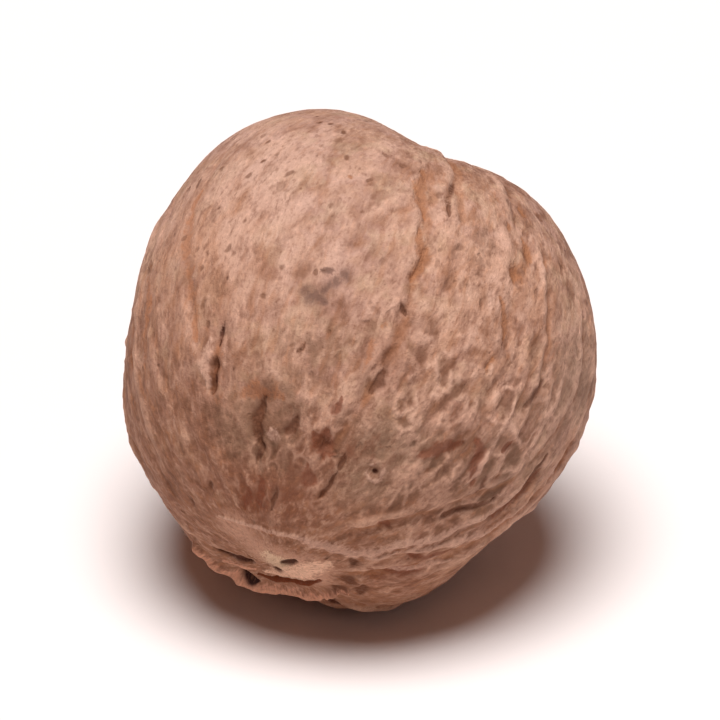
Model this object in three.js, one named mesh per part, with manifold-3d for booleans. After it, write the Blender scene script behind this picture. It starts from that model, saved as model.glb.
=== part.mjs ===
// A whole dried nutmeg: the bare seed of Myristica fragrans, lying on its side.
//
// The seed is one solid. It is star-shaped, so its skin is one distance from the centre for each
// direction: an egg-shaped body, broad swellings and dents where the seed shrank as it dried, raised
// veins that run from the hilum to the chalaza like meridians, small pits, and the net of wrinkles
// between the veins. It is worked out along +Z, with the hilum at -Z, and then laid down.
// Millimetres, +Z up. The origin is under the middle of the seed, on the surface it lies on.

import * as THREE from "three";
import { mergeVertices } from "three/addons/utils/BufferGeometryUtils.js";
import Module from "manifold-3d";

// ---------- driving dimensions ----------

const seed = {
  length: 23.4, // hilum to chalaza
  width: 22.1,
  thickness: 21.8,
  taper: 0.015, // share by which the chalaza end is slimmer
};

const lie = {
  rise: 32, // degrees that the chalaza end stands above the level
  turn: 23, // degrees that it is turned clockwise, seen from above
  flat: 0.42, // depth of the small flat spot that the seed rests on
  pad: 0.45, // how far the skin stands out behind that spot, which brings it under the middle
  padLat: -18,
  spread: 18, // degrees of arc over which it does
  worn: 0.9, // share of the veins and wrinkles that is missing there
};

const mesh = {
  detail: 22, // the skin has 20 * (detail + 1)^2 triangles
  narrowest: 1.05, // width of the slimmest vein that triangles of this size can hold
  slab: 60, // side of the block that cuts the flat spot
  weld: 1e-4, // corners closer than this are one
};

// Longitude 0 is the upper side of the seed as it lies, and latitude -90 is the hilum.
// lon, lat: middle of the form in degrees; rise: millimetres; spread: degrees of arc.
const swellings = {
  flatCrown: { lon: 22, lat: 66, rise: -1.25, spread: 20 },
  leftShoulder: { lon: -46, lat: 40, rise: 0.74, spread: 30 },
  rightCheek: { lon: 96, lat: 12, rise: 0.4, spread: 26 },
  dentByTheFoot: { lon: 124, lat: -30, rise: -0.9, spread: 10 },
  foot: { lon: 148, lat: -54, rise: 0.55, spread: 18 },
  hilumLip: { lon: -125, lat: -66, rise: 0.2, spread: 12 },
  hilumFlat: { lon: 175, lat: -82, rise: -0.36, spread: 20 },
  leftFlat: { lon: -76, lat: -12, rise: -0.4, spread: 20 },
  lowerLeftFlat: { lon: -104, lat: -52, rise: -0.3, spread: 10 },
  backHollow: { lon: 196, lat: 24, rise: -0.45, spread: 26 },
  underHollow: { lon: -140, lat: 6, rise: -0.3, spread: 18 },
  chalazaDimple: { lon: 14, lat: 86, rise: -0.75, spread: 9 },
};

// Each vein goes from a longitude and latitude to another, and bows sideways between them.
// ridge, groove: height and depth in millimetres; width: of the ridge; side: where its groove lies.
const veins = {
  main: { from: [17, 40], to: [20, -56], bow: 8, ridge: 0.2, groove: 0.3, width: 0.5, side: 1 },
  crownSlit: { from: [21, 64], to: [33, 19], bow: 0, ridge: 0.1, groove: 0.34, width: 0.42, side: 1 },
  crownFork: { from: [6, -2], to: [20, 22], bow: 0, ridge: 0.22, groove: 0.14, width: 0.7, side: 1 },
  inner: { from: [33, 8], to: [33, -40], bow: 2, ridge: 0.16, groove: 0.16, width: 0.5, side: 1 },
  innerLow: { from: [40, -14], to: [44, -52], bow: 3, ridge: 0.13, groove: 0.12, width: 0.6, side: 1 },
  right: { from: [45, 50], to: [55, -8], bow: -1, ridge: 0.24, groove: 0.3, width: 0.55, side: 1 },
  rightLow: { from: [57, -6], to: [52, -46], bow: 2, ridge: 0.16, groove: 0.16, width: 0.5, side: 1 },
  cheek: { from: [60, 26], to: [77, -36], bow: 1, ridge: 0.2, groove: 0.2, width: 0.45, side: 1 },
  cheekLow: { from: [63, 0], to: [66, -40], bow: 2, ridge: 0.15, groove: 0.14, width: 0.42, side: -1 },
  rim: { from: [66, 36], to: [44, -69], bow: 30, ridge: 0.2, groove: 0.2, width: 0.5, side: 1 },
  outerRim: { from: [80, 34], to: [84, -74], bow: 17, ridge: 0.22, groove: 0.26, width: 0.5, side: 1 },
  leftStreak: { from: [-42, 24], to: [-24, -34], bow: -3, ridge: 0.07, groove: 0.13, width: 0.5, side: 1 },
  leftEdge: { from: [-54, 20], to: [-40, -42], bow: -2, ridge: 0.1, groove: 0.1, width: 0.5, side: 1 },
  leftLow: { from: [-30, -40], to: [-8, -72], bow: -4, ridge: 0.1, groove: 0.1, width: 0.6, side: -1 },
  lowMiddle: { from: [10, -46], to: [8, -74], bow: 1, ridge: 0.12, groove: 0.16, width: 0.5, side: -1 },
};

// Veins of the sides that face away, spread by a rule with a seeded draw.
// Pairs are the least and the most: latitudes of the ends, share of the height, width in millimetres.
const farVeins = {
  count: 17,
  longitudes: [104, 302],
  tops: [14, 74],
  bottoms: [-76, -26],
  strengths: [0.5, 1.2],
  widths: [0.44, 0.72],
  ridge: 0.22,
  groove: 0.24,
  lean: 16, // degrees of longitude between one end and the other, at most half to each side
  bow: 14,
  scatter: 0.8, // share of the space between two veins over which the start of one is drawn
  row: 7, // any whole number
  seed: 11,
};

// How a vein sways to and fro: a slow sway and a quick one, in degrees of longitude. step: noise
// cells for each degree of latitude.
const sways = {
  slow: { reach: 1.6, step: 0.13, salt: 31 },
  quick: { reach: 0.8, step: 0.37, salt: 32 },
};
const swayApart = 0.4; // noise cells between veins that are a degree apart

// Small hollows and bumps: depth below the skin is a negative rise; spread is in degrees of arc.
const pits = {
  mainPocket: { lon: 29, lat: -11, rise: -0.26, spread: 3.4 },
  slitTop: { lon: -16, lat: -27, rise: -0.2, spread: 1.9 },
  slitMiddle: { lon: -18, lat: -34, rise: -0.34, spread: 2.2 },
  slitBottom: { lon: -19, lat: -40, rise: -0.2, spread: 1.9 },
  slitLip: { lon: -23, lat: -33, rise: 0.14, spread: 3 },
  brow: { lon: -2, lat: -34, rise: 0.16, spread: 5 },
  browPocket: { lon: 0, lat: -42, rise: -0.36, spread: 4 },
  lowHollow: { lon: 4, lat: -54, rise: -0.26, spread: 8 },
  lowRightHollow: { lon: 78, lat: -45, rise: -0.3, spread: 7 },
  pinhole: { lon: 42, lat: -48, rise: -0.22, spread: 1.8 },
  hilumHole: { lon: -130, lat: -79, rise: -0.75, spread: 2.6 },
  hilumButton: { lon: 102, lat: -71, rise: 0.2, spread: 2.8 },
};

// The scar at the hilum: a low pad with a torn crack round its lower side.
const scar = {
  radius: 12.5, // of the pad, in degrees from the hilum
  wobble: 1.2, // of its edge, in degrees
  wobbleScale: 1.8,
  wobbleSalt: 41,
  rise: 0.16, // of the pad above the skin
  edge: 3, // degrees over which the pad falls off
  crackMiddle: 175, // longitude of the middle of the crack
  crackReach: 75, // degrees of longitude to each side of it
  crackEnds: 3, // the crack fades out over a third of that reach
  crackDepth: 0.34,
  crackWidth: 1.4, // degrees
  lipRise: 0.2, // of the torn edge outside the crack
  lipGap: 3.4, // degrees from the crack to that edge
};

const wrinkles = {
  height: 0.2, // of the net of small ridges between the veins
  around: 6.2, // noise cells for each radian round the seed
  along: 2.3, // and from end to end
  sway: 0.9, // how far the ridges wander, in cells
  swayScale: 3.2,
  crest: 0.17, // half-width of a ridge, in noise values
  ground: 0.3, // share of the height that lies below the skin
  patchScale: 1.9,
  patchStrength: 1.1,
  patchMean: 0.62,
  calmest: 0.2, // share of the height left where the skin is smooth
  calmLon: -14, // middle of the smooth area
  calmLat: 12,
  calmSpread: 38,
  calmShare: 0.85,
  seed: 5,
};

// The sides that face away are uneven by a rule, and the front by its swellings.
const uneven = { height: 0.34, scale: 2.1, frontLon: 22, frontLat: -24, fall: 1.4 };

// ---------- numbers ----------

const radians = Math.PI / 180;

function direction(lon, lat) {
  const [a, b] = [lon * radians, lat * radians];
  return new THREE.Vector3(Math.sin(a) * Math.cos(b), -Math.cos(a) * Math.cos(b), Math.sin(b));
}

const bell = (x) => Math.exp(-x * x);
const clamp01 = (x) => Math.min(1, Math.max(0, x));
const smooth = (x) => clamp01(x) ** 2 * (3 - 2 * clamp01(x));
const between = ([least, most], share) => least + (most - least) * share;
const turned = (degrees) => ((((degrees + 180) % 360) + 360) % 360) - 180; // into -180 to 180
const total = (items, worth) => items.reduce((sum, item) => sum + worth(item), 0);

// A whole number hashed to a share between 0 and 1, the same on any machine.
function hashed(x, y, z, salt) {
  let h = Math.imul(x, 0x27d4eb2d) ^ Math.imul(y, 0x165667b1) ^ Math.imul(z, 0x9e3779b1);
  h ^= Math.imul(salt, 0x85ebca6b);
  h = Math.imul(h ^ (h >>> 15), 0x2c1b3c6d);
  h = Math.imul(h ^ (h >>> 12), 0x297a2d39);
  return ((h ^ (h >>> 15)) >>> 0) / 2 ** 32;
}

// Gradient noise, about -1 to 1, from slopes at the whole-numbered points round (x, y, z).
function noise(x, y, z, salt) {
  const [i, j, k] = [Math.floor(x), Math.floor(y), Math.floor(z)];
  const fade = (t) => t * t * t * (t * (t * 6 - 15) + 10);
  const [u, v, w] = [fade(x - i), fade(y - j), fade(z - k)];
  const turnSalt = salt + 97; // any other salt, for the second draw
  const gain = 1.5; // brings the sum's reach to about 1
  let sum = 0;
  for (const a of [0, 1])
    for (const b of [0, 1])
      for (const c of [0, 1]) {
        const up = 2 * hashed(i + a, j + b, k + c, salt) - 1;
        const turn = 2 * Math.PI * hashed(i + a, j + b, k + c, turnSalt);
        const level = Math.sqrt(1 - up * up);
        const sideways = (x - i - a) * level * Math.cos(turn) + (y - j - b) * level * Math.sin(turn);
        const share = (a ? u : 1 - u) * (b ? v : 1 - v) * (c ? w : 1 - w);
        sum += (sideways + (z - k - c) * up) * share;
      }
  return gain * sum;
}

const noiseAt = (way, scale, salt) => noise(scale * way.x, scale * way.y, scale * way.z, salt);

// ---------- the skin ----------

// 1 at the middle of a spot, falling off over its spread.
const nearness = (way, lon, lat, spread) => bell(way.distanceTo(direction(lon, lat)) / (spread * radians));
const bump = (spot, way) => spot.rise * nearness(way, spot.lon, spot.lat, spot.spread);
const underside = (way) => nearness(way, 180, lie.padLat, lie.spread);

function body(way) {
  const { width, thickness, length, taper } = seed;
  const across = new THREE.Vector3((2 * way.x) / width, (2 * way.y) / thickness, (2 * way.z) / length);
  const egg = (1 - taper * way.z) / across.length();
  const away = smooth(0.5 - uneven.fall * way.dot(direction(uneven.frontLon, uneven.frontLat)));
  return egg + uneven.height * away * noiseAt(way, uneven.scale, wrinkles.seed) + lie.pad * underside(way);
}

// Height of one vein at a longitude and latitude, with the skin's radius there.
function vein(line, lon, lat, radius) {
  const [lonA, latA] = line.from;
  const [lonB, latB] = line.to;
  const t = (lat - latA) / (latB - latA);
  const ends = 6; // a vein fades out over a sixth of its length
  const inside = smooth(t * ends + 0.5) * smooth((1 - t) * ends + 0.5);
  if (inside === 0) return 0;
  const s = clamp01(t);
  const midway = 0.5; // between whole numbers, where the noise has its full reach
  const sway = total(Object.values(sways), ({ reach, step, salt }) => {
    return reach * noise(step * lat, swayApart * lonA, midway, salt);
  });
  const middle = lonA + (lonB - lonA) * s + 4 * line.bow * s * (1 - s) + sway;
  const off = turned(lon - middle) * radians * Math.cos(lat * radians) * radius;
  const width = Math.max(line.width, mesh.narrowest);
  const crest = line.ridge * bell((2 * off) / width);
  const trench = line.groove * bell((2 * (off - line.side * width)) / width);
  return inside * (crest - trench);
}

function farVeinList() {
  const { count, longitudes, tops, bottoms, strengths, widths, ridge, groove, lean, bow } = farVeins;
  const draw = (i, j) => hashed(i, j, farVeins.row, farVeins.seed);
  return Array.from({ length: count }, (_, i) => {
    const lon = between(longitudes, (i + farVeins.scatter * draw(i, 0)) / count);
    const strength = between(strengths, draw(i, 3));
    return {
      from: [lon, between(tops, 1 - draw(i, 1) ** 2)],
      to: [lon + lean * (draw(i, 4) - 0.5), between(bottoms, draw(i, 2) ** 2)],
      bow: bow * (draw(i, 5) - 0.5),
      ridge: ridge * strength,
      groove: groove * strength,
      width: between(widths, draw(i, 6)),
      side: draw(i, 7) < 0.5 ? -1 : 1,
    };
  });
}

function scarHeight(lon, lat) {
  const { radius, wobble, wobbleScale, wobbleSalt, rise, edge, crackEnds, crackWidth } = scar;
  const off = lat + 90 - radius - wobble * noiseAt(direction(lon, 0), wobbleScale, wobbleSalt);
  const pad = rise * smooth(0.5 - off / edge);
  const awayFromMiddle = Math.abs(turned(lon - scar.crackMiddle)) / scar.crackReach;
  const along = smooth(crackEnds * (1 - awayFromMiddle));
  const crack = scar.crackDepth * bell(off / crackWidth);
  const lip = scar.lipRise * bell((off - scar.lipGap) / crackWidth);
  return pad + along * (lip - crack);
}

function wrinkleHeight(way, lon, lat, radius) {
  const { around, along, sway, crest, height, ground, seed: salt } = wrinkles;
  const shrink = Math.sqrt(Math.max(Math.cos(lat * radians), 0));
  const drift = sway * noiseAt(way, wrinkles.swayScale, salt + 1);
  const n = noise(
    around * shrink * Math.sin(lon * radians) + drift,
    -around * shrink * Math.cos(lon * radians) + drift,
    along * lat * radians + 0.5 * drift,
    salt + 2,
  );
  const patches = wrinkles.patchMean + wrinkles.patchStrength * noiseAt(way, wrinkles.patchScale, salt + 3);
  const calm = wrinkles.calmShare * nearness(way, wrinkles.calmLon, wrinkles.calmLat, wrinkles.calmSpread);
  const strength = Math.max(wrinkles.calmest, smooth(patches) * (1 - calm));
  return (strength * height * (bell(n / crest) - ground) * radius * 2) / seed.width;
}

const allVeins = [...Object.values(veins), ...farVeinList()];

function skinRadius(way) {
  const lat = Math.asin(Math.max(-1, Math.min(1, way.z))) / radians;
  const lon = Math.atan2(way.x, -way.y) / radians;
  const base = body(way) + total(Object.values(swellings), (spot) => bump(spot, way));
  const lines = total(allVeins, (line) => vein(line, lon, lat, base));
  const spots = total(Object.values(pits), (spot) => bump(spot, way));
  const relief = lines + spots + scarHeight(lon, lat) + wrinkleHeight(way, lon, lat, base);
  return base + relief * (1 - lie.worn * underside(way));
}

// ---------- the solid ----------

const wasm = await Module();
wasm.setup();

function positionsOnly(geometry) {
  const bare = new THREE.BufferGeometry().setAttribute("position", geometry.getAttribute("position"));
  return bare.setIndex(geometry.index);
}

function toSolid(geometry) {
  const merged = mergeVertices(positionsOnly(geometry), mesh.weld);
  return new wasm.Manifold(
    new wasm.Mesh({
      numProp: 3,
      vertProperties: new Float32Array(merged.attributes.position.array),
      triVerts: new Uint32Array(merged.index.array),
    }),
  );
}

function toGeometry(solid) {
  const { vertProperties, triVerts } = solid.getMesh();
  const geometry = new THREE.BufferGeometry();
  geometry.setAttribute("position", new THREE.BufferAttribute(vertProperties, 3));
  geometry.setIndex(new THREE.BufferAttribute(triVerts, 1));
  geometry.computeVertexNormals();
  return geometry;
}

function skin() {
  const sphere = new THREE.IcosahedronGeometry(1, mesh.detail);
  const position = sphere.getAttribute("position");
  const way = new THREE.Vector3();
  for (let i = 0; i < position.count; i++) {
    way.fromBufferAttribute(position, i).normalize();
    way.multiplyScalar(skinRadius(way));
    position.setXYZ(i, way.x, way.y, way.z);
  }
  return sphere;
}

// Lays the seed down, cuts the flat spot and puts the origin under the middle.
function laidDown(geometry) {
  geometry.rotateX((lie.rise - 90) * radians);
  geometry.rotateZ(-lie.turn * radians);
  geometry.computeBoundingBox();
  const floor = geometry.boundingBox.min.z + lie.flat;
  const block = new THREE.BoxGeometry(mesh.slab, mesh.slab, mesh.slab);
  block.translate(0, 0, floor - mesh.slab / 2);
  const cut = toGeometry(toSolid(geometry).subtract(toSolid(block)));
  cut.computeBoundingBox();
  const { min, max } = cut.boundingBox;
  return cut.translate(-(min.x + max.x) / 2, -(min.y + max.y) / 2, -min.z);
}

const rind = new THREE.MeshStandardMaterial({ color: 0xb98a70, roughness: 0.8, metalness: 0 });
const nutmeg = new THREE.Mesh(laidDown(skin()), rind);
nutmeg.name = "nutmeg";

const part = new THREE.Group();
part.add(nutmeg);

export default part;
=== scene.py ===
import math

import bmesh
import bpy
import numpy as np
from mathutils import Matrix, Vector


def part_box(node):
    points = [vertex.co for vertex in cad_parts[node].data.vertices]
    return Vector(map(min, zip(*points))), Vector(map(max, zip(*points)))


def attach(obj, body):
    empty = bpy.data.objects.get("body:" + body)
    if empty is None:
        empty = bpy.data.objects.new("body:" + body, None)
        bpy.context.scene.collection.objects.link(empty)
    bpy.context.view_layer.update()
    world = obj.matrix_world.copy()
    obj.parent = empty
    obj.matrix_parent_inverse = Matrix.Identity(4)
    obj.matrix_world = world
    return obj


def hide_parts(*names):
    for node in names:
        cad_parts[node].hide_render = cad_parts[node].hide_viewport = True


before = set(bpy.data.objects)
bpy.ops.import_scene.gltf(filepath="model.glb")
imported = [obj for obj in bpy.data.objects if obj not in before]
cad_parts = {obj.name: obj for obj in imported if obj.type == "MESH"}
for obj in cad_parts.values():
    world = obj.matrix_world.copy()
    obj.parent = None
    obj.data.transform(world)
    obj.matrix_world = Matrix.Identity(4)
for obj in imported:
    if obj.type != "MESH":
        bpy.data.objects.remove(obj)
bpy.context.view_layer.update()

mm = 0.001
seedLow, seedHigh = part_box("nutmeg")
print("frame loaded, the seed is", round((seedHigh.z - seedLow.z) / mm, 1), "mm high")

# The seed is one distance from its centre for each direction, in millimetres. Longitude 0 is its
# upper side as it lies, latitude -90 is the hilum and latitude 90 the chalaza.
seedShape = {
    "length": 23.4,
    "width": 22.1,
    "thickness": 21.8,
    "taper": 0.015,  # share by which the chalaza end is slimmer
    "radius": 11.2,  # on the whole
    "rise": 32,  # degrees that the chalaza end stands above the level
    "turn": 23,  # degrees that it is turned clockwise, seen from above
    "pad": 0.45,  # how far the skin stands out behind the resting spot
    "padLat": -18,
    "padSpread": 18,
    "worn": 0.9,  # share of the veins that is missing there
    "uneven": 0.34,  # of the sides that face away
    "unevenScale": 2.1,
    "unevenSalt": 5,
    "front": (22, -24),
    "unevenFall": 1.4,
    "flat": 0.42,  # depth of the resting spot
    "steps": 127,  # squares along each edge of the cube that the skin is grown from
    "finer": 0.4,  # share by which the squares at the hilum are smaller
    "veinHeight": 0.55,  # share of the solid's veins, which stand for the broken ones here
    "veinWidth": 1.3,
    "veinFade": 6,  # the larger, the shorter the run-out at a vein's ends
    "breakScale": 9.0,  # noise cells to the seed's radius, for the breaks along a vein
    "breakDepth": 0.9,
    "breakSalts": (51, 52),  # of the ridges and of the grooves
}

# name: longitude, latitude, rise in millimetres, spread in degrees of arc
swellings = {
    "flatCrown": (22, 66, -1.25, 20),
    "leftShoulder": (-46, 40, 0.74, 30),
    "rightCheek": (96, 12, 0.4, 26),
    "dentByTheFoot": (124, -30, -0.9, 10),
    "foot": (148, -54, 0.55, 18),
    "hilumLip": (-125, -66, 0.2, 12),
    "hilumFlat": (175, -82, -0.36, 20),
    "leftFlat": (-76, -12, -0.4, 20),
    "lowerLeftFlat": (-104, -52, -0.3, 10),
    "backHollow": (196, 24, -0.45, 26),
    "underHollow": (-140, 6, -0.3, 18),
    "chalazaDimple": (14, 86, -0.75, 9),
}

# name: one end, other end, bow between them, ridge height, groove depth, width, side of the groove
veins = {
    "main": ((17, 40), (20, -56), 8, 0.2, 0.24, 0.55, 1),
    "crownSlit": ((21, 64), (33, 19), 0, 0.1, 0.34, 0.42, 1),
    "crownFork": ((6, -2), (20, 22), 0, 0.22, 0.14, 0.7, 1),
    "inner": ((33, 8), (33, -40), 2, 0.14, 0.09, 0.7, 1),
    "innerLow": ((40, -14), (44, -52), 3, 0.13, 0.12, 0.6, 1),
    "right": ((45, 50), (55, -8), -1, 0.22, 0.16, 0.6, 1),
    "rightLow": ((57, -6), (52, -46), 2, 0.16, 0.16, 0.5, 1),
    "cheek": ((60, 26), (77, -36), 1, 0.2, 0.2, 0.45, 1),
    "cheekLow": ((63, 0), (66, -40), 2, 0.15, 0.14, 0.42, -1),
    "rim": ((66, 36), (44, -69), 30, 0.2, 0.2, 0.5, 1),
    "outerRim": ((80, 34), (84, -74), 17, 0.22, 0.26, 0.5, 1),
    "leftStreak": ((-42, 24), (-24, -34), -3, 0.07, 0.13, 0.5, 1),
    "leftEdge": ((-54, 20), (-40, -42), -2, 0.1, 0.1, 0.5, 1),
    "leftLow": ((-30, -40), (-8, -72), -4, 0.1, 0.1, 0.6, -1),
    "lowMiddle": ((10, -46), (8, -74), 1, 0.12, 0.16, 0.5, -1),
}

# Veins of the sides that face away, spread by a rule: pairs are the least and the most.
farVeins = {
    "count": 17,
    "longitudes": (104, 302),
    "tops": (14, 74),
    "bottoms": (-76, -26),
    "strengths": (0.5, 1.2),
    "widths": (0.44, 0.72),
    "ridge": 0.22,
    "groove": 0.24,
    "lean": 16,
    "bow": 14,
    "seed": 11,
}

# How far a vein sways, in degrees of longitude, with the step of its noise and a salt.
sways = [(1.6, 0.13, 31), (0.8, 0.37, 32)]

# name: longitude, latitude, rise, spread
pits = {
    "mainPocket": (29, -11, -0.26, 3.4),
    "slitTop": (-16, -27, -0.2, 1.9),
    "slitMiddle": (-18, -34.5, -0.22, 1.7),
    "slitBottom": (-19, -40, -0.2, 1.9),
    "slitLip": (-23, -33, 0.14, 3),
    "brow": (-2, -34, 0.16, 5),
    "browPocket": (0, -42, -0.36, 4),
    "lowHollow": (4, -54, -0.26, 8),
    "lowRightHollow": (78, -45, -0.3, 7),
    "pinhole": (42, -48, -0.12, 1.6),
    "hilumHole": (-138, -73.6, -0.5, 1.9),
    "lipSwell": (-156, -70.5, 0.24, 4.5),
    "hilumButton": (102, -71, 0.2, 2.8),
}

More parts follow.
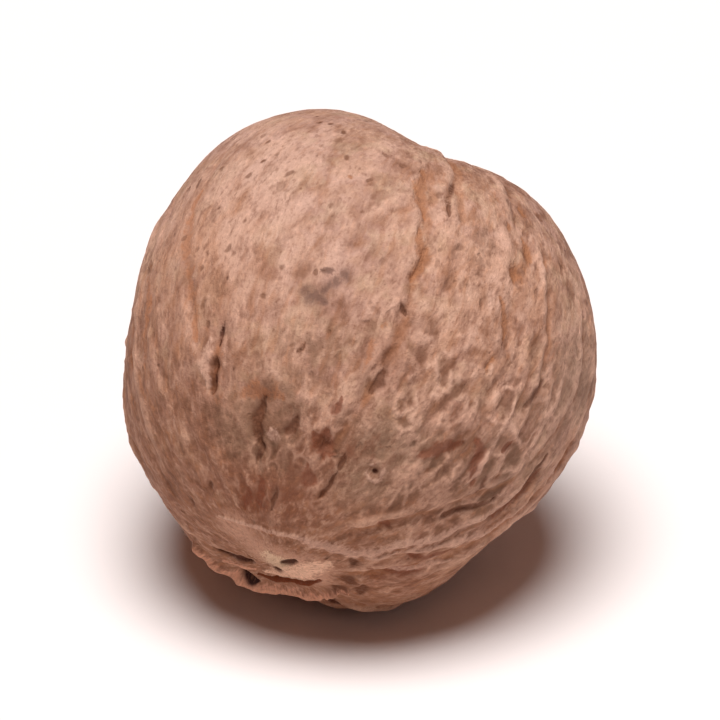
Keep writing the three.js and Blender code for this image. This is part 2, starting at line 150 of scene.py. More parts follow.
# colour, then name: half-width in millimetres, rise, and the longitude and latitude of its places
marks = {
    "orange": {
        "topDot": (0.17, -0.08, (3, 21.8), (3.4, 20.2)),
        "mainGroove": (0.34, -0.14, (21.1, 33), (22, 25.6), (23.4, 20.7), (26, 16.6)),
        "mainGrooveLow": (0.3, -0.14, (24.9, 15), (26.4, 10), (28.6, 6.4), (29.1, 3), (27.4, -2)),
        "crownSpots": (0.17, -0.1, (44.5, 36), (46.8, 32.6)),
        "crownSpotsRight": (0.16, -0.1, (52.6, 38), (56.6, 33.6)),
        "crownSpotsLow": (0.19, -0.12, (48, 28.8), (49.4, 25.4)),
        "rightGroove": (0.32, -0.14, (54.2, 26.4), (56.5, 22.1), (56.1, 17.4)),
        "rightSpot": (0.42, -0.12, (54, 14.6)),
        "rightGrooveLow": (0.24, -0.06, (50.2, 6), (54.2, 1.6), (56.6, -4.4)),
        "rightTail": (0.15, -0.1, (55, -8), (55.3, -14)),
    },
    "tawny": {
        "mainTail": (0.18, -0.08, (26, -13), (24.6, -21), (25, -29)),
        "leftStreak": (
            0.34, -0.05, (-38.7, 13), (-37.3, 3.8), (-34.5, -4.8), (-31.8, -10.5), (-29.8, -15.8),
            (-26, -22), (-24.6, -28),
        ),
        "leftOuter": (0.3, -0.05, (-50.5, -6), (-47.3, -15.5), (-46.7, -25.9), (-49, -34)),
        "slitRim": (0.34, 0, (-16.4, -28), (-17.4, -34), (-19.4, -41.4)),
        "browShade": (0.5, -0.03, (-8, -41), (-3.5, -39.4), (2, -38.6), (6, -39.6)),
        "outerShade": (0.4, -0.03, (94.5, -39.5), (98.2, -33.7), (101, -25.9)),
    },
    "rust": {
        "rustFurrow": (0.28, -0.14, (22.1, -42), (23.1, -45.8), (24, -50)),
        "rustPatch": (0.42, -0.06, (18.6, -45.6), (22.6, -47.4), (26.2, -48.8)),
        "rustTop": (0.2, -0.1, (22, -35), (22.2, -40.4)),
        "rustFoot": (0.26, -0.06, (20, -52.6), (22, -57), (22.6, -61)),
        "lowFurrow": (0.22, -0.06, (0.4, -60), (0, -65), (1.4, -69)),
        "leftFurrow": (0.2, -0.08, (-6, -64), (-12, -70)),
        "bandBrown": (0.3, -0.14, (61.8, -29.6), (56.9, -32.9), (51.4, -39)),
        "bandBrownRight": (0.34, -0.12, (64, -26.6), (67, -28.8), (70, -33), (74, -35.6)),
        "redPocket": (0.22, -0.12, (74.4, -21.6), (73.2, -25.6)),
        "lowRedHollow": (0.28, -0.08, (58, -57), (65, -56)),
        "rimRed": (0.3, -0.06, (84.4, -67.3), (95.1, -62.6), (101.2, -55.5)),
        "archFurrow": (0.2, -0.12, (84.7, -58.6), (94, -53.4), (96.7, -48.4), (99, -43)),
        "archGap": (0.24, -0.14, (91, -38), (92.6, -33), (93.2, -28), (93.6, -23), (92.8, -17)),
    },
    "shade": {
        "crownFurrow": (0.16, -0.14, (20.5, 51.8), (25, 46.4), (29, 40)),
        "crownGap": (0.18, -0.16, (29.8, 37.4), (30, 27.2), (31.6, 19)),
        "slitLens": (0.26, -0.14, (-17, -31.6), (-17.9, -35.6), (-18.9, -38.6), (-20, -41.4)),
        "shortLine": (0.12, -0.1, (7.6, -24.6), (6.3, -29)),
        "mainHollow": (0.2, -0.12, (27, -8), (30.2, -10.4)),
        "browPocket": (
            0.36, -0.22, (-0.6, -40.6), (-0.9, -43.4), (-2, -46.6), (-1.6, -49.4), (1, -53),
        ),
        "browPocketRight": (0.27, -0.16, (12.4, -42.6), (11, -45.6), (9.6, -48.2)),
        "browPocketLow": (0.2, -0.12, (-0.9, -56), (1.6, -51.8)),
        "furrowLeft": (0.15, -0.12, (8.6, -61), (9, -68.6)),
        "furrowRight": (0.16, -0.12, (31, -52.4), (30.1, -56.8), (29.4, -61)),
        "furrowTop": (0.13, -0.1, (30, -47.8), (30.9, -52)),
        "midHollow": (0.26, -0.06, (30.8, -25), (30.7, -29), (30.2, -32)),
        "cheekHollow": (0.3, -0.08, (72.4, -4), (71.4, -13)),
        "cheekHollowLow": (0.22, -0.16, (75.6, -31), (77.8, -36)),
        "rimPocket": (0.24, -0.18, (90.8, -15), (91.9, -21), (92.2, -29.6)),
        "lowPocket": (0.22, -0.14, (76.6, -48), (80.4, -41.4), (86.4, -32.6)),
        "leftDark": (0.17, -0.1, (-49.8, -63.6), (-54.2, -68)),
        "leftDot": (0.17, -0.1, (-28.9, -63.2)),
        "buttonTop": (0.3, -0.1, (97.6, -74.9), (99.4, -72.8), (104.8, -70)),
        "buttonRight": (0.34, -0.12, (108, -69.4), (117.8, -68.5), (125, -67.6)),
        "buttonLow": (0.42, -0.12, (127.7, -74.9), (125.6, -73.4), (132, -71)),
        "buttonMiddle": (0.18, -0.06, (102, -73), (106, -72), (112, -70.6)),
        "hilumDot": (0.26, -0.12, (77.5, -69.1)),
        "rustCore": (0.32, -0.08, (21.8, -46.8)),
    },
    "stain": {
        "stainLeft": (0.46, -0.05, (2.4, -13.4), (7, -13.6), (10.6, -14.6)),
        "stainLink": (0.3, -0.04, (6.8, -12.4), (9.8, -10.4), (12.4, -7.4)),
        "stainRight": (0.38, -0.05, (12.6, -7.2)),
        "stainDots": (0.22, -0.04, (6.2, -6.6), (9.8, -7.2)),
    },
    "pale": {
        "crownSpindle": (0.28, 0.06, (17, 52.4), (26, 53.2), (35, 54.2), (44, 55)),
        "slitLip": (0.36, 0.06, (-19.8, -28), (-20.6, -33), (-21.2, -39)),
        "slitFleck": (0.12, 0.1, (-18.6, -36), (-18.9, -36.8)),
        "paleFleck": (0.3, 0.08, (4.2, -47.8), (5.4, -48.9), (6.2, -50.2)),
        "pinRing": (
            0.12, 0.04, (40.2, -47.6), (41.2, -45.7), (43.2, -45.1), (45.4, -46), (46.2, -47.7),
            (45.2, -49.4), (43, -49.8), (40.8, -49.2), (40.2, -47.6),
        ),
        "netLeft": (
            0.18, 0.07, (66.6, -6), (67.3, -14.4), (69.1, -18.9), (76.2, -20.2), (84.6, -20.6),
        ),
        "netMiddle": (0.18, 0.07, (67.3, -14.4), (68.7, -24), (72.3, -33.4), (71.6, -37)),
        "netRight": (0.18, 0.07, (79.7, 3), (79.3, -7.2), (80.1, -13.3), (81.5, -20.6)),
        "archUpper": (
            0.26, 0.13, (-40, -71), (-24.5, -73.2), (0.3, -74.9), (25.2, -73.9), (41.6, -72.7),
            (58.1, -70.1), (70.7, -67.3), (75, -62.3), (77.2, -57.5), (81.6, -53.5), (85.4, -48.7),
            (87.7, -43.7), (89, -38.3), (89.4, -32.9), (89.9, -27.4), (90.2, -20),
        ),
        "archLower": (
            0.24, 0.13, (76.6, -66.1), (81.1, -59.3), (89.8, -50.5), (92.9, -45.4), (95.5, -40),
            (97.8, -34.5), (99.4, -28.7), (100.5, -22), (101, -14),
        ),
        "archOuter": (0.18, 0.08, (92, -67), (96.4, -61), (100.6, -53), (104, -46)),
    },
    "fan": {
        "fanMiddle": (0.6, 0.02, (2, -83.6), (10, -85.2), (46, -87), (100, -88)),
    },
    "cream": {
        "creamBand": (
            0.6, 0.04, (-150, -84), (-168, -85.4), (140, -86), (113, -84.7), (88, -82.3),
            (82.6, -79.2), (77.6, -76.4), (72, -74),
        ),
    },
    "lip": {
        "tornLip": (
            0.44, 0.38, (-108, -66.5), (-124, -68.6), (-140, -70), (-156, -72.6), (178, -74.6),
            (150, -74), (122, -71.6),
        ),
        "tornFlap": (
            0.2, 0.14, (-112, -72.6), (-114, -76.4), (-115, -79.2), (-124, -81.8), (-138, -82.6),
        ),
    },
    # Painted shade inside the slits, the pinhole, the hilum's slot and point, the pocket under the
    # lip and the top of the crack
    "darkShade": {
        "crownCut": (0.13, -0.16, (8.6, 49.8), (13, 51.6), (18.4, 51.7)),
        "slit": (0.1, -0.12, (-15.5, -23.4), (-16.4, -27.3), (-17.3, -32)),
        "slitEdge": (0.09, -0.1, (-16.6, -32.4), (-17, -36), (-18.6, -40)),
        "pinhole": (0.15, -0.2, (43.1, -47.3)),
        "hilumSlot": (0.22, -0.18, (50, -86.4), (57, -84.6), (60, -81.8)),
        "hilumPoint": (0.18, -0.16, (160, -88)),
        "lipPocket": (0.34, -0.2, (146, -74), (156, -69), (158, -66.4), (156, -64)),
        "crackTop": (
            0.24, -0.26, (-98, -73.4), (-97.4, -75.4), (-96, -78), (-94, -80.2), (-98, -82),
            (-99, -84.6),
        ),
    },
    # Painted shade inside the hole of the torn crack
    "holeShade": {
        "crackHole": (0.3, -0.2, (-130, -73), (-138, -73.3), (-144, -73.8), (-150, -75.2)),
    },
    # Painted shade inside the crack at the hilum, on its floor and on the part of its wall that
    # shows
    "crackShade": {
        "crack": (
            0.18, -0.5, (-138, -78.8), (-156, -80.2), (-176, -81.2), (152, -81), (129, -79.6),
            (108, -78.6),
        ),
        "crackWall": (
            0.2, 0, (-140, -78), (-156, -79.2), (-176, -80.1), (152, -79.9), (129, -78.7),
            (110, -78),
        ),
    },
}

scar = {
    "radius": 11.5,  # of the pale pad at the hilum, in degrees
    "wobble": 1.2,
    "wobbleScale": 1.8,
    "wobbleSalt": 41,
    "fray": 1.0,  # of its torn edge, in degrees
    "frayScale": 9,
    "fraySalt": 42,
    "rise": 0.04,
    "edge": 3,
    "knobs": 0.09,  # height of the lumps on the pad
    "knobScale": 12,
    "knobSalt": 44,
    "tear": 0.16,  # share by which the lip's height varies
    "tearScale": 7,
    "tearSalt": 43,
}

# How far the marks are drawn out of line: share of the seed's radius, noise cells to it, salt.
wavers = [(0.018, 8, 61), (0.01, 24, 64)]
markEnds = 0.3  # width of a mark's ends, as a share of its middle
markReach = 4  # half-widths from a mark's line at which it is no longer felt

# name: spots of longitude, latitude, spread in degrees and strength
zones = {
    "calm": [(-14, 12, 40, 1), (-30, 50, 24, 0.6), (150, -56, 20, 0.7)],
    "netted": [
        (76, -28, 34, 1), (40, -24, 24, 0.8), (-70, -24, 26, 0.2), (4, -50, 18, 0.4),
        (200, 10, 80, 0.6),
    ],
    "grey": [
        (4, -54, 10, 0.9), (-10, -48, 8, 0.7), (34, -49, 10, 1), (50, -43, 10, 1.1),
        (80, -30, 16, 0.7), (86, 4, 15, 0.9), (8, -39, 7, 0.6), (40, 18, 7, 0.5), (8, -24, 8, 0.4),
    ],
    "reddish": [
        (22, -56, 12, 0.8), (24, -45, 7, 0.8), (62, -46, 12, 0.6), (-14, -58, 12, 0.5),
        (0, -66, 8, 0.6), (99, -60, 8, 1.1), (250, -20, 40, 0.4),
    ],
    # Browner round the hilum on the lower side and at the left edge: partly the skin's own colour,
    # partly painted shade of the underside and of the left edge
    "brownAndUnderShade": [(10, -90, 58, 1.1), (-76, -24, 28, 0.4)],
    "peach": [
        (150, -56, 26, 0.9), (50, 8, 26, 0.8), (-30, -6, 22, 0.9), (99, 12, 9, 0.9),
        (98, -26, 9, 0.9),
    ],
    "pink": [(-10, 2, 26, 1), (-24, 24, 18, 0.7), (46, 20, 12, 0.3), (47, 3, 8, 1.2)],
    "dusky": [
        (-19, -48, 9, 0.8), (4, -46, 8, 1), (30, -22, 8, 0.9), (12, -15, 5, 0.8),
        (50, -46, 9, 0.5), (57, -28, 8, 0.5), (73, -18, 8, 0.6), (76, -40, 9, 0.5),
        (52, 33, 7, 0.4),
    ],
    "sallow": [
        (-28, -75, 6, 0.9), (0, -85, 6, 0.8), (76, -80, 7, 0.7), (120, -80, 6, 0.6),
    ],
}


def bell(x):
    return np.exp(-x * x)


def smooth(x):
    x = np.clip(x, 0, 1)
    return x * x * (3 - 2 * x)


def between(pair, share):
    return pair[0] + (pair[1] - pair[0]) * share


def turned(degrees):
    return (degrees + 180) % 360 - 180


def direction(lon, lat):
    a, b = np.radians(lon), np.radians(lat)
    return np.stack([np.sin(a) * np.cos(b), -np.cos(a) * np.cos(b), np.sin(b)], -1)


def nearness(way, lon, lat, spread):
    gap = np.linalg.norm(way - direction(lon, lat), axis=-1)
    return bell(gap / math.radians(spread))


def strokeGap(way, halfWidth, places):
    # Distance from the line through the places, in half-widths, which taper to the ends.
    corners = [direction(lon, lat) for lon, lat in places]
    if len(corners) == 1:
        return np.linalg.norm(way - corners[0], axis=1) * seedShape["radius"] / halfWidth
    lengths = [np.linalg.norm(end - start) for start, end in zip(corners, corners[1:])]
    nearest = np.full(len(way), np.inf)
    done = 0
    for start, end, length in zip(corners, corners[1:], lengths):
        run = end - start
        share = np.clip((way - start) @ run / (run @ run), 0, 1)
        offset = np.linalg.norm(way - start - share[:, None] * run, axis=1)
        belly = np.sin(np.pi * (done + share * length) / sum(lengths))
        width = halfWidth * (markEnds + (1 - markEnds) * belly)
        nearest = np.minimum(nearest, offset * seedShape["radius"] / width)
        done += length
    return nearest


def hashed(x, y, z, salt):
    # Whole numbers hashed to shares between 0 and 1.
    def word(number, factor):
        return (np.asarray(number, np.int64) & 0xFFFFFFFF).astype(np.uint32) * np.uint32(factor)

    h = word(x, 0x27D4EB2D) ^ word(y, 0x165667B1) ^ word(z, 0x9E3779B1)
    h = h ^ np.uint32(salt * 0x85EBCA6B & 0xFFFFFFFF)
    h = (h ^ (h >> np.uint32(15))) * np.uint32(0x2C1B3C6D)
    h = (h ^ (h >> np.uint32(12))) * np.uint32(0x297A2D39)
    return (h ^ (h >> np.uint32(15))) / 2**32


def noise(point, salt):
    # Gradient noise, about -1 to 1.
    cell = np.floor(point).astype(int)
    part = point - cell
    fade = part**3 * (part * (part * 6 - 15) + 10)
    total = 0
    for corner in np.ndindex(2, 2, 2):
        i, j, k = np.moveaxis(cell + corner, -1, 0)
        up = 2 * hashed(i, j, k, salt) - 1
        turn = 2 * np.pi * hashed(i, j, k, salt + 97)
        level = np.sqrt(1 - up * up)
        slope = np.stack([level * np.cos(turn), level * np.sin(turn), up], -1)
        share = np.where(np.array(corner) == 1, fade, 1 - fade).prod(-1)
        total = total + (slope * (part - corner)).sum(-1) * share
    return 1.5 * total


def farVeinList():
    def draw(i, j):
        return float(hashed(i, j, 7, farVeins["seed"]))

    found = []
    for i in range(farVeins["count"]):
        lon = between(farVeins["longitudes"], (i + 0.8 * draw(i, 0)) / farVeins["count"])
        strength = between(farVeins["strengths"], draw(i, 3))
        top = between(farVeins["tops"], 1 - draw(i, 1) ** 2)
        bottom = between(farVeins["bottoms"], draw(i, 2) ** 2)
        lean = farVeins["lean"] * (draw(i, 4) - 0.5)
        bow = farVeins["bow"] * (draw(i, 5) - 0.5)
        ridge, groove = farVeins["ridge"] * strength, farVeins["groove"] * strength
        width = between(farVeins["widths"], draw(i, 6))
        side = -1 if draw(i, 7) < 0.5 else 1
        found.append(((lon, top), (lon + lean, bottom), bow, ridge, groove, width, side))
    return found


def veinLines(way, lon, lat, radius):
    # Crest and groove of every vein, in millimetres, broken along their length.
    shape = seedShape
    fade = shape["veinFade"]
    crest, trench = np.zeros_like(lon), np.zeros_like(lon)
    steps = np.arange(-90, 90.5, 0.5)
    for start, end, bow, ridge, groove, width, side in [*veins.values(), *farVeinList()]:
        t = (lat - start[1]) / (end[1] - start[1])
        inside = smooth(t * fade + 0.5) * smooth((1 - t) * fade + 0.5)
        s = np.clip(t, 0, 1)
        row = np.full_like(steps, 0.4 * start[0])
        sway = sum(
            reach * noise(np.stack([step * steps, row, row * 0 + 0.5], -1), salt)
            for reach, step, salt in sways
        )
        bend = 4 * bow * s * (1 - s) + np.interp(lat, steps, sway)
        middle = start[0] + (end[0] - start[0]) * s + bend
        off = np.radians(turned(lon - middle)) * np.cos(np.radians(lat)) * radius
        wide = width * shape["veinWidth"]
        crest += inside * ridge * bell(2 * off / wide)
        trench += inside * groove * bell(2 * (off - side * width) / wide)
    crestShare, trenchShare = (
        shape["veinHeight"] * (1 + shape["breakDepth"] * noise(shape["breakScale"] * way, salt))
        for salt in shape["breakSalts"]
    )
    return crest * crestShare, trench * trenchShare


def scarPad(way, lon, lat):
    # How far the pad and its lumps stand out, in millimetres.
    ring = noise(scar["wobbleScale"] * direction(lon, 0 * lat), scar["wobbleSalt"])
    off = lat + 90 - scar["radius"] - scar["wobble"] * ring
    off = off - scar["fray"] * noise(scar["frayScale"] * way, scar["fraySalt"])
    large = noise(scar["knobScale"] * way, scar["knobSalt"])
    small = noise(2 * scar["knobScale"] * way, scar["knobSalt"] + 1)
    height = scar["rise"] + scar["knobs"] * (large + 0.5 * small)
    return height * smooth(0.5 - off / scar["edge"])


def skinForm(way):
    # Distance from the centre in each direction, with the masks that the finish follows.
    shape = seedShape
    lat = np.degrees(np.arcsin(np.clip(way[:, 2], -1, 1)))
    lon = np.degrees(np.arctan2(way[:, 0], -way[:, 1]))
    size = np.array([shape["width"], shape["thickness"], shape["length"]])
    egg = (1 - shape["taper"] * way[:, 2]) / np.linalg.norm(2 * way / size, axis=1)
    away = smooth(0.5 - shape["unevenFall"] * way @ direction(*shape["front"]))
    under = nearness(way, 180, shape["padLat"], shape["padSpread"])
    uneven = shape["uneven"] * away * noise(shape["unevenScale"] * way, shape["unevenSalt"])
    base = egg + uneven + shape["pad"] * under
    for lonAt, latAt, rise, spread in swellings.values():
        base += rise * nearness(way, lonAt, latAt, spread)
    crest, trench = veinLines(way, lon, lat, base)
    relief = scarPad(way, lon, lat) + crest - trench
    masks = {"crest": crest, "trench": trench}
    for name, spots in zones.items():
        parts = [strength * nearness(way, *where, spread) for *where, spread, strength in spots]
        masks[name] = sum(parts)
    for *where, rise, spread in pits.values():
        relief += rise * nearness(way, *where, spread)
    drawn = way.copy()
    for reach, scale, salt in wavers:
        drawn += reach * np.stack([noise(scale * way, salt + axis) for axis in range(3)], 1)
    torn = 1 + scar["tear"] * noise(scar["tearScale"] * way, scar["tearSalt"])
    for tint, strokes in marks.items():
        nearest = np.full_like(lon, markReach)
        for halfWidth, rise, *places in strokes.values():
            gap = strokeGap(drawn, halfWidth, places)
            relief += rise * bell(gap) * (torn if tint == "lip" else 1)
            nearest = np.minimum(nearest, gap)
        masks[tint] = nearest
    return base + relief * (1 - shape["worn"] * under), lon, lat, masks


def flatTurn(degrees):
    a = math.radians(degrees)
    return np.array([[math.cos(a), -math.sin(a)], [math.sin(a), math.cos(a)]])


def laidDown(points):
    # Turns the seed from its upright axis to the way it lies.
    tip, spin = np.eye(3), np.eye(3)
    tip[1:, 1:] = flatTurn(seedShape["rise"] - 90)
    spin[:2, :2] = flatTurn(-seedShape["turn"])
    return points @ (spin @ tip).T


def giveAttribute(mesh, name, values):
    kind, field = ("FLOAT", "value") if values.ndim == 1 else ("FLOAT_VECTOR", "vector")
    attribute = mesh.attributes.new(name, kind, "POINT")
    attribute.data.foreach_set(field, values.astype(np.float32).ravel())


def growSkin():
    # A cube of fine squares is blown up into a ball and then to the seed's form.
    cube = bmesh.new()
    bmesh.ops.create_cube(cube, size=2)
    cuts = seedShape["steps"] - 1
    bmesh.ops.subdivide_edges(cube, edges=cube.edges[:], cuts=cuts, use_grid_fill=True)
    mesh = bpy.data.meshes.new("nutmegSkin")
    cube.to_mesh(mesh)
    cube.free()
    corners = np.empty(3 * len(mesh.vertices))
    mesh.vertices.foreach_get("co", corners)
    way = np.tan(np.pi / 4 * corners.reshape(-1, 3))
    way /= np.linalg.norm(way, axis=1, keepdims=True)
    # The squares are drawn together towards the hilum.
    fromHilum = np.arccos(np.clip(-way[:, 2:], -1, 1))
    closer = fromHilum - seedShape["finer"] * np.sin(fromHilum)
    level = way[:, :2] / np.maximum(np.linalg.norm(way[:, :2], axis=1, keepdims=True), 1e-9)
    way = np.concatenate([level * np.sin(closer), -np.cos(closer)], 1)
    reach, lon, lat, masks = skinForm(way)
    place = laidDown(way * reach[:, None]) * mm
    place[:, 2] -= place[:, 2].min() + seedShape["flat"] * mm
    middle = (place.max(0) + place.min(0)) / 2
    place[:, :2] += np.array(seedLow + seedHigh)[:2] / 2 - middle[:2]
    mesh.vertices.foreach_set("co", place.ravel())
    a, b = np.radians(lon), np.radians(lat)
    shrink = np.sqrt(np.cos(b))
    giveAttribute(mesh, "grain", np.stack([shrink * np.sin(a), -shrink * np.cos(a), b], -1))
    giveAttribute(mesh, "outward", laidDown(way))
    for name, values in masks.items():
        giveAttribute(mesh, name, values)
    skin = bpy.data.objects.new("nutmegSkin", mesh)
    bpy.context.scene.collection.objects.link(skin)
    return skin


class Wire:
    # One output of a node. Sums and products of wires add Math nodes.
    def __init__(self, tree, socket=None):
        self.tree = tree
        self.socket = socket

    def node(self, kind, settings=None, links=None, output=0):
        made = self.tree.nodes.new(kind)
        for name, value in (settings or {}).items():
            setattr(made, name, value)
        for name, value in (links or {}).items():
            if isinstance(value, Wire):
                self.tree.links.new(value.socket, made.inputs[name])
            else:
                made.inputs[name].default_value = value
        return Wire(self.tree, made.outputs[output])

    def out(self, name):
        # Another output of the same node
        return Wire(self.tree, self.socket.node.outputs[name])

    def read(self, name, vector=False):
        # An attribute of the surface, in a material as in Geometry Nodes
        if self.tree.type == "GEOMETRY":
            settings = {"data_type": "FLOAT_VECTOR" if vector else "FLOAT"}
            return self.node("GeometryNodeInputNamedAttribute", settings, {"Name": name})
        output = "Vector" if vector else "Fac"
        return self.node("ShaderNodeAttribute", {"attribute_name": name}, {}, output)

    def math(self, operation, *others):
        links = dict(enumerate([self, *others]))
        return self.node("ShaderNodeMath", {"operation": operation}, links)

    def __add__(self, other):
        return self.math("ADD", other)

    def __sub__(self, other):
        return self.math("SUBTRACT", other)

    def __mul__(self, other):
        return self.math("MULTIPLY", other)

    def __truediv__(self, other):
        return self.math("DIVIDE", other)

    def __rsub__(self, other):
        return self.node("ShaderNodeMath", {"operation": "SUBTRACT"}, {0: other, 1: self})

    __radd__ = __add__
    __rmul__ = __mul__

    def hill(self, width):
        # 1 at zero, falling off on both sides
        x = self / width
        return (x * x * -1).math("EXPONENT")

    def step(self, low, high):
        # 0 below low and 1 above high, smooth between
        links = {"Value": self, 1: low, 2: high}
        return self.node("ShaderNodeMapRange", {"interpolation_type": "SMOOTHSTEP"}, links)

    def vector(self, operation, other):
        return self.node("ShaderNodeVectorMath", {"operation": operation}, {0: self, 1: other})

    def across(self):
        # The first of three numbers
        return self.node("ShaderNodeSeparateXYZ", {}, {0: self})

    def noise(self, scale, detail=2.0, rough=0.5, output=0):
        links = {"Vector": self, "Scale": scale, "Detail": detail, "Roughness": rough}
        return self.node("ShaderNodeTexNoise", {}, links, output)

    def cells(self, feature="F1"):
        links = {"Vector": self, "Scale": 1.0}
        return self.node("ShaderNodeTexVoronoi", {"feature": feature}, links)


def newTree(name, inputs):
    # A Geometry Nodes tree with named inputs.
    tree = bpy.data.node_groups.new(name, "GeometryNodeTree")
    tree.interface.new_socket("Geometry", in_out="INPUT", socket_type="NodeSocketGeometry")
    tree.interface.new_socket("Geometry", in_out="OUTPUT", socket_type="NodeSocketGeometry")
    for label in inputs:
        kind = "NodeSocketMaterial" if label == "Material" else "NodeSocketFloat"
        tree.interface.new_socket(label, in_out="INPUT", socket_type=kind)
    entry = tree.nodes.new("NodeGroupInput")
    return tree, {socket.name: Wire(tree, socket) for socket in entry.outputs if socket.name}


def runTree(piece, tree, inputs):
    # Sets the inputs by identifier, evaluates the piece once and keeps the plain mesh.
    modifier = piece.modifiers.new(tree.name, "NODES")
    modifier.node_group = tree
    for item in tree.interface.items_tree:
        if item.in_out == "INPUT" and item.name in inputs:
            modifier[item.identifier] = inputs[item.name]
    graph = bpy.context.evaluated_depsgraph_get()
    ready = piece.evaluated_get(graph)
    mesh = bpy.data.meshes.new_from_object(ready, preserve_all_data_layers=True, depsgraph=graph)
    piece.modifiers.remove(modifier)
    old, piece.data = piece.data, mesh
    bpy.data.meshes.remove(old)


# Heights are in millimetres. Across and Along are cells for each radian round and along the seed.
fineRelief = {
    "Net Height": 0.05,
    "Net Across": 12.0,
    "Net Along": 6.0,
    "Net Width": 0.13,
    "Pocket Depth": 0.03,
    "Lump Height": 0.22,
    "Lump Across": 8.0,
    "Lump Along": 2.6,
    "Ripple Height": 0.13,
    "Ripple Across": 20.0,
    "Ripple Along": 6.5,
    "Pock Depth": 0.05,
    "Pock Across": 9.0,
    "Pock Along": 5.0,
}

# name: how far its cells are swayed, and a salt
fineCells = {"Net": (1.8, 0), "Lump": (1.6, 5.3), "Ripple": (2.4, 8.1), "Pock": (1.6, 3.7)}

# How much of the fine relief is missing where the skin is calm or netted.
fineLoss = {
    "lumpsCalm": 0.6,
    "lumpsNetted": 0.4,
    "ripplesCalm": 0.65,
    "ripplesNetted": 0.6,
    "pocksCalm": 0.8,
}
placeCells = 11  # noise cells to the seed's radius, about one to a millimetre
pockSize = 0.36  # share of its cell that the largest pock takes
netSink = 0.3  # how far netted skin lies lower, as a share of the net's height


def finePattern(start, given):
    # The fine relief between the veins, the same for the shape as for the colours.
    loss = fineLoss
    grain = start.read("grain", True)
    place = start.read("outward", True).vector("MULTIPLY", (placeCells, placeCells, placeCells))

    def drift(scale):
        return place.noise(scale, 2, 0.5, "Color").vector("SUBTRACT", (0.5, 0.5, 0.5))

    wander, jitter = drift(0.35), drift(1.1)

    def along(name):
        sway, salt = fineCells[name]
        across, length = given[name + " Across"], given[name + " Along"]
        size = start.node("ShaderNodeCombineXYZ", {}, {"X": across, "Y": across, "Z": length})
        swayed = wander.vector("MULTIPLY", (sway, sway, sway))
        cells = grain.vector("MULTIPLY", size).vector("ADD", swayed)
        return cells.vector("ADD", jitter).vector("ADD", (salt, 2 * salt, 3 * salt))

    calm, netted = start.read("calm"), start.read("netted")
    broken = place.noise(0.8, 2).step(0.38, 0.58)
    netPlace = along("Net")
    edge = netPlace.cells("DISTANCE_TO_EDGE")
    net = edge.hill(given["Net Width"]) * broken * netted
    tone = netPlace.cells().out("Color").across()
    pockets = edge.step(0.05, 0.3) * tone.step(0.4, 1) * netted
    lumps = along("Lump").noise(1.0, 2, 0.5) - 0.5
    lumps = lumps * (1 - loss["lumpsCalm"] * calm - loss["lumpsNetted"] * netted)
    ripples = along("Ripple").noise(1.0, 1, 0.5) - 0.5
    ripples = ripples * (1 - loss["ripplesNetted"] * netted) * (1 - loss["ripplesCalm"] * calm)
    pock = along("Pock").cells()
    size = pock.out("Color").across().step(0.35, 1) * pockSize
    pocks = (size - pock).step(-0.08, 0.14) * (1 - loss["pocksCalm"] * calm)
    height = given["Lump Height"] * lumps + given["Ripple Height"] * ripples
    height = height + given["Net Height"] * (net - netSink * netted)
    height = height - given["Pock Depth"] * pocks - given["Pocket Depth"] * pockets
    return {
        "height": height, "net": net, "pockets": pockets, "tone": tone, "place": place,
        "grain": grain, "jitter": jitter,
    }


def reliefTree():
    tree, given = newTree("skinRelief", {**fineRelief, "Material": None})
    start = given["Geometry"]
    height = finePattern(start, given)["height"]
    links = {0: start.node("GeometryNodeInputNormal"), "Scale": height * mm}
    offset = start.node("ShaderNodeVectorMath", {"operation": "SCALE"}, links)
    raised = start.node("GeometryNodeSetPosition", {}, {"Geometry": start, "Offset": offset})
    # Nothing reaches below the surface that the seed lies on.
    apart = start.node("ShaderNodeSeparateXYZ", {}, {0: start.node("GeometryNodeInputPosition")})
    links = {"X": apart, "Y": apart.out("Y"), "Z": apart.out("Z").math("MAXIMUM", 0.0)}
    lifted = start.node("ShaderNodeCombineXYZ", {}, links)
    rested = start.node("GeometryNodeSetPosition", {}, {"Geometry": raised, "Position": lifted})
    real = start.node("GeometryNodeRealizeInstances", {}, {"Geometry": rested})
    shaded = start.node("GeometryNodeSetShadeSmooth", {}, {"Geometry": real})
    links = {"Geometry": shaded, "Material": given["Material"]}
    dressed = start.node("GeometryNodeSetMaterial", {}, links)
    tree.links.new(dressed.socket, tree.nodes.new("NodeGroupOutput").inputs["Geometry"])
    return tree


def colour(code):
    # The linear colour of a hexadecimal sRGB one.
    values = [int(code[i : i + 2], 16) / 255 for i in (0, 2, 4)]
    linear = [v / 12.92 if v <= 0.04045 else ((v + 0.055) / 1.055) ** 2.4 for v in values]
    return (*linear, 1)


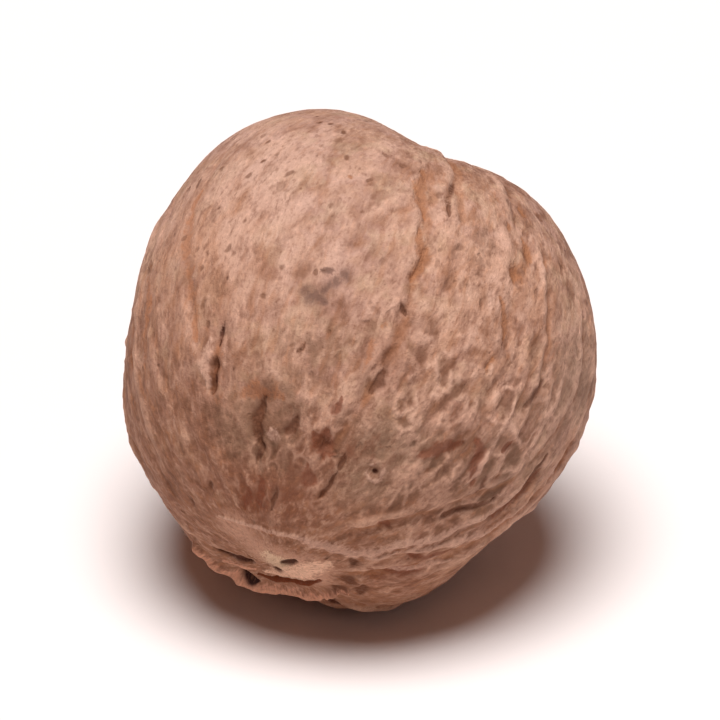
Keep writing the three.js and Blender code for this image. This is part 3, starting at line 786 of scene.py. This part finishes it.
skinLook = {
    "rose": "b08a7b",
    "apricot": "b18973",
    "tan": "976e59",
    "pale": "cfa793",
    "umber": "7b523f",
    # browner skin of the lower side, partly painted shade
    "brownAndUnderShade": "8b5d47",
    "orange": "9e6a4a",
    "tawny": "9b6647",
    "sand": "b3957b",
    # painted shade of the slits and holes, also laid in low streaks
    "darkShade": "42190a",
    "shade": "552c18",
    "upperHollowShade": "744d3a",  # painted shade in the hollows of the upper side
    "greyHollowShade": "6b5040",  # painted shade in the hollows of the greyish parts
    "grey": "9a7c69",
    "rust": "75402b",
    "peach": "c29378",
    "pink": "c9a493",
    "stain": "694c42",
    "lip": "cf967a",
    "fan": "d3b294",
    "cream": "e3b79b",
    "sallow": "bd9078",
    "pore": "6f4935",
    # painted shade inside the crack's hole and inside the crack
    "holeShade": "2c0d06",
    "crackShade": "6a2f10",
    "underShadeWarmth": "fcf8ef",  # painted warm shade, multiplied over the lower side and the left edge
    "dusky": "d9cec8",  # multiplies the darker parts
    "lighter": "84807c",  # brightens the small specks
    "roughness": 0.72,
    "roughSpread": 0.12,
    "gloss": 0.14,
}

# Tints that do more than cover what is below them.
blendKinds = {"underShadeWarmth": "MULTIPLY", "dusky": "MULTIPLY", "lighter": "DODGE"}

# name: noise cells to a millimetre, shift, octaves, roughness
roundPatterns = {
    "blotches": (0.28, (0, 0, 0), 3, 0.6),
    "hue": (0.75, (9, 4, 7), 3, 0.6),
    "sands": (0.55, (2, 6, 12), 3, 0.6),
    "crumb": (7, (0, 0, 0), 3, 0.7),
}

# name: size across and along the seed in millimetres, octaves
longPatterns = {
    "clouds": (1.7, 2.6, 2),
    "mottle": (0.75, 1.3, 3),
    "streaks": (0.42, 2.4, 2),
    "specks": (0.2, 0.36, 2),
}

# name: spacing across and along in millimetres, share of it that the largest takes, salt
porePatterns = {"smallPores": (0.55, 0.8, 0.36, 3), "largePores": (1.1, 1.5, 0.24, 8)}

# name: what is added to the weighted sum of the patterns and zones named
mixedPatterns = {
    # painted shade where the fine relief lies low
    "low": (-0.6, {"height": -15, "mottle": 1.2}),
    "high": (-0.5, {"height": 15, "mottle": 1}),
    # painted shade in low streaks of the fine relief
    "lowShadeStreaks": (-1.1, {"height": -15, "mottle": 1.2, "streaks": 1}),
    "greyish": (-1.6, {"grey": 0.9, "blotches": 1, "mottle": 1.4, "specks": 0.8}),
    "rusty": (-1.6, {"reddish": 0.8, "blotches": 1, "mottle": 1.4, "specks": 0.8}),
    "trenches": (-0.7, {"trench": 8, "mottle": 1.2}),
    "crests": (-0.5, {"crest": 9, "mottle": 1}),
    "duskyPart": (-0.5, {"dusky": 1, "mottle": 1}),
    "knobbly": (-1, {"sallow": 1, "mottle": 0.9, "crumb": 0.6}),
}

# Layers of colour, from the lowest: the pattern that each follows, where on it the layer starts and
# is full, its share of the colour, what calm skin adds to that share, and its tint.
groundLayers = [
    ("blotches", (0.42, 0.66), 0.6, 0, "tan"),
    ("sands", (0.5, 0.62), 0.6, 0, "sand"),
    ("clouds", (0.5, 0.66), 0.65, -0.35, "umber"),
    ("clouds", (0.49, 0.34), 0.55, -0.25, "pale"),
    ("peachy", None, 0.8, 0, "peach"),
    ("pinkish", None, 0.6, 0, "pink"),
    # Browner lower side and left edge: partly own colour, partly painted shade
    ("brownAndUnderShade", (0.05, 1.05), 0.8, 0, "brownAndUnderShade"),
    ("mottle", (0.5, 0.66), 0.6, -0.35, "umber"),
    ("mottle", (0.48, 0.34), 0.35, -0.15, "pale"),
    ("streaks", (0.52, 0.68), 0.45, -0.2, "orange"),
    ("streaks", (0.48, 0.32), 0.3, 0, "pale"),
    ("greyish", (0.1, 0.9), 0.8, 0, "grey"),
    ("rusty", (0.1, 1), 0.7, 0, "rust"),
    # Painted shade: darker where the fine relief lies low, in the net's pockets and in low streaks
    ("low", (0.1, 1.1), 0.55, 0, "hollow"),
    ("pockets", None, 0.45, 0, "hollow"),
    ("lowShadeStreaks", (1.1, 2.2), 0.6, 0, "darkShade"),
    ("high", (0.1, 1.1), 0.45, 0, "pale"),
    ("net", None, 0.5, 0, "pale"),
    ("trenches", (0.4, 1.1), 0.5, 0, "orange"),
    ("crests", (0.3, 1.2), 0.5, 0, "pale"),
    ("duskyPart", None, 1, 0, "dusky"),
    # Painted warm shade over the lower side and the left edge
    ("brownAndUnderShade", (0.05, 1.05), 1, 0, "underShadeWarmth"),
    ("knobbly", (0, 0.6), 0.9, 0, "sallow"),
]

# Layers that lie over the marks.
grainLayers = [
    ("smallPores", None, 0.35, 0.6, "pore"),
    ("largePores", None, 0.6, 0, "pore"),
    ("specks", (0.52, 0.72), 0.4, 0, "umber"),
    ("specks", (0.48, 0.3), 0.6, 0, "lighter"),
    ("crumb", (0.52, 0.75), 0.3, 0, "umber"),
    ("crumb", (0.48, 0.25), 0.35, 0, "lighter"),
]

# tint of the marks: its share, how ragged their rims are, how far in from the rim it is full
markLook = {
    "tawny": (0.7, 2.4, 1),
    "orange": (0.8, 1.4, 0.75),
    "rust": (0.75, 1.4, 0.75),
    "shade": (0.75, 1, 0.75),
    "stain": (0.85, 1.7, 1),
    "pale": (0.55, 1.4, 0.75),
    "fan": (0.85, 1.8, 0.75),
    "cream": (0.8, 2, 0.75),
    "lip": (0.8, 1.4, 0.75),
    # The last three are painted shade: in the slits and holes, in the crack's hole and in the crack
    "darkShade": (0.9, 0.7, 0.6),
    "holeShade": (1, 0.3, 0.4),
    "crackShade": (0.95, 0.4, 0.5),
}

# Heights in millimetres of the finest bumps, by the pattern or the marks that they follow.
skinBumps = {
    "crumb": 0.06,
    "specks": 0.055,
    "streaks": 0.04,
    "net": 0.02,
    "smallPores": -0.05,
    "largePores": -0.08,
    "darkShade": -0.1,
    "shade": -0.05,
    "pale": 0.06,
    "orange": -0.05,
}


def blend(factor, first, second, kind="MIX"):
    def linear(value):
        return colour(value) if isinstance(value, str) else value

    settings = {"data_type": "RGBA", "blend_type": kind}
    links = {0: factor, 6: linear(first), 7: linear(second)}
    return factor.node("ShaderNodeMix", settings, links, 2)


def skinPatterns(start):
    # All that the colour follows, by name.
    fine = finePattern(start, fineRelief)
    found = {name: start.read(name) for name in [*zones, "crest", "trench"]}
    found["height"] = fine["height"]
    found["net"] = fine["net"]
    found["pockets"] = fine["pockets"] * fine["tone"]
    place = fine["place"]
    wander = place.noise(0.6, 2, 0.5, "Color")
    for name, (scale, shift, detail, rough) in roundPatterns.items():
        found[name] = place.vector("ADD", shift).noise(scale, detail, rough)

    def drawnOut(across, length):
        radius = seedShape["radius"]
        cells = (radius / across, radius / across, radius / length)
        return fine["grain"].vector("MULTIPLY", cells)

    for name, (across, length, detail) in longPatterns.items():
        found[name] = drawnOut(across, length).vector("ADD", wander).noise(1.0, detail, 0.6)
    for name, (across, length, share, salt) in porePatterns.items():
        # Pits of all sizes up to the share of their cell, each with a darkness of its own.
        shift = fine["jitter"].vector("ADD", (salt, salt, salt))
        cell = drawnOut(across, length).vector("ADD", shift).cells()
        size = cell.out("Color").across()
        found[name] = (size * share - cell).step(-0.06, 0.16) * size.out("Y")
    for name, (shift, weights) in mixedPatterns.items():
        found[name] = sum(found[part] * weight for part, weight in weights.items()) + shift
    found["peachy"] = found["peach"] * found["blotches"].step(0.3, 0.5)
    found["pinkish"] = found["pink"] * found["clouds"].step(0.7, 0.4)
    return found


def skinMaterial():
    look = skinLook
    material = bpy.data.materials.new("nutmegSkin")
    material.use_nodes = True
    tree = material.node_tree
    tree.nodes.clear()
    start = Wire(tree)
    patterns = skinPatterns(start)
    # painted shade for the hollows, greyer where the skin is grey
    tints = {**look, "hollow": blend(patterns["grey"], look["upperHollowShade"], look["greyHollowShade"])}

    def covered(base, layers):
        for pattern, span, share, calmShare, tint in layers:
            amount = patterns[pattern].step(*span) if span else patterns[pattern]
            amount = amount * (share + calmShare * patterns["calm"] if calmShare else share)
            base = blend(amount, base, tints[tint], blendKinds.get(tint, "MIX"))
        return base

    base = blend(patterns["hue"].step(0.4, 0.6), look["rose"], look["apricot"])
    base = covered(base, groundLayers)
    frayed = patterns["specks"] + patterns["mottle"] - 1
    for tint, (share, raggedness, fullAt) in markLook.items():
        gap = start.read(tint) + frayed * raggedness
        patterns[tint] = gap.math("MAXIMUM", 0.0).hill(1.0)
        base = blend(patterns[tint].step(0.05, fullAt) * share, base, look[tint])
    base = covered(base, grainLayers)

    bumps = sum(patterns[name] * height for name, height in skinBumps.items())
    normal = start.node("ShaderNodeBump", {}, {"Strength": 1.0, "Distance": mm, "Height": bumps})
    rough = (patterns["crumb"] - 0.5) * look["roughSpread"] + look["roughness"]
    links = {"Base Color": base, "Roughness": rough, "Normal": normal}
    links["Specular IOR Level"] = look["gloss"]
    shader = start.node("ShaderNodeBsdfPrincipled", {}, links)
    tree.links.new(shader.socket, tree.nodes.new("ShaderNodeOutputMaterial").inputs["Surface"])
    return material


print("growing the skin")
nutmeg = growSkin()
print("raising its relief")
runTree(nutmeg, reliefTree(), {**fineRelief, "Material": skinMaterial()})
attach(nutmeg, "root")
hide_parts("nutmeg")
print("nutmeg skin has", len(nutmeg.data.polygons), "faces")

studio = {
    "elevation": 30,  # degrees that the camera looks down
    "distance": 0.5,
    "fieldWidth": 0.034,  # what the picture takes in at the seed, in metres
    "aimDrop": 0.0002,  # how far below the seed's middle the camera aims
    "sensorWidth": 36,
    "clipStart": 0.01,
    "floorSize": 12.0,
    "floorColour": "ebe5e4",
    "floorRoughness": 0.9,
    "floorGloss": 0.1,
    "lampSize": 1.5,
    "lampAim": (0, 0, 0.01),
    "keyPlace": (-0.1, -0.45, 2.4),
    "keyWatts": 84,
    "keyColour": (1, 0.99, 0.98),
    "fillPlace": (1.2, -2.0, 1.2),
    "fillWatts": 3,
    "fillColour": (1, 0.96, 0.92),
    "skyColour": (1, 0.46, 0.34, 1),
    "skyStrength": 0.1,
}


def makeFloor():
    mesh = bpy.data.meshes.new("floor")
    half = studio["floorSize"] / 2
    corners = [(-half, -half, 0), (half, -half, 0), (half, half, 0), (-half, half, 0)]
    mesh.from_pydata(corners, [], [(0, 1, 2, 3)])
    material = bpy.data.materials.new("paleFloor")
    material.use_nodes = True
    shader = material.node_tree.nodes["Principled BSDF"]
    shader.inputs["Base Color"].default_value = colour(studio["floorColour"])
    shader.inputs["Roughness"].default_value = studio["floorRoughness"]
    shader.inputs["Specular IOR Level"].default_value = studio["floorGloss"]
    mesh.materials.append(material)
    floor = bpy.data.objects.new("floor", mesh)
    bpy.context.scene.collection.objects.link(floor)


def aim(thing, place, target):
    thing.location = place
    thing.rotation_euler = (Vector(target) - Vector(place)).to_track_quat("-Z", "Y").to_euler()


def softLight(name):
    light = bpy.data.lights.new(name, "AREA")
    light.shape = "DISK"
    light.size = studio["lampSize"]
    light.energy = studio[name + "Watts"]
    light.color = studio[name + "Colour"]
    lamp = bpy.data.objects.new(name, light)
    bpy.context.scene.collection.objects.link(lamp)
    aim(lamp, studio[name + "Place"], studio["lampAim"])


def lightAndCamera():
    softLight("key")
    softLight("fill")
    world = bpy.data.worlds.new("paleRoom")
    world.use_nodes = True
    background = world.node_tree.nodes["Background"]
    background.inputs["Color"].default_value = studio["skyColour"]
    background.inputs["Strength"].default_value = studio["skyStrength"]
    scene = bpy.context.scene
    scene.world = world
    scene.view_settings.view_transform = "Standard"
    lens = bpy.data.cameras.new("camera")
    lens.sensor_width = studio["sensorWidth"]
    lens.lens = studio["sensorWidth"] * studio["distance"] / studio["fieldWidth"]
    lens.clip_start = studio["clipStart"]
    camera = bpy.data.objects.new("camera", lens)
    scene.collection.objects.link(camera)
    target = (seedLow + seedHigh) / 2 - Vector((0, 0, studio["aimDrop"]))
    lift = math.radians(studio["elevation"])
    away = Vector((0, -math.cos(lift), math.sin(lift))) * studio["distance"]
    aim(camera, target + away, target)
    scene.camera = camera


print("floor, lights and camera")
makeFloor()
lightAndCamera()
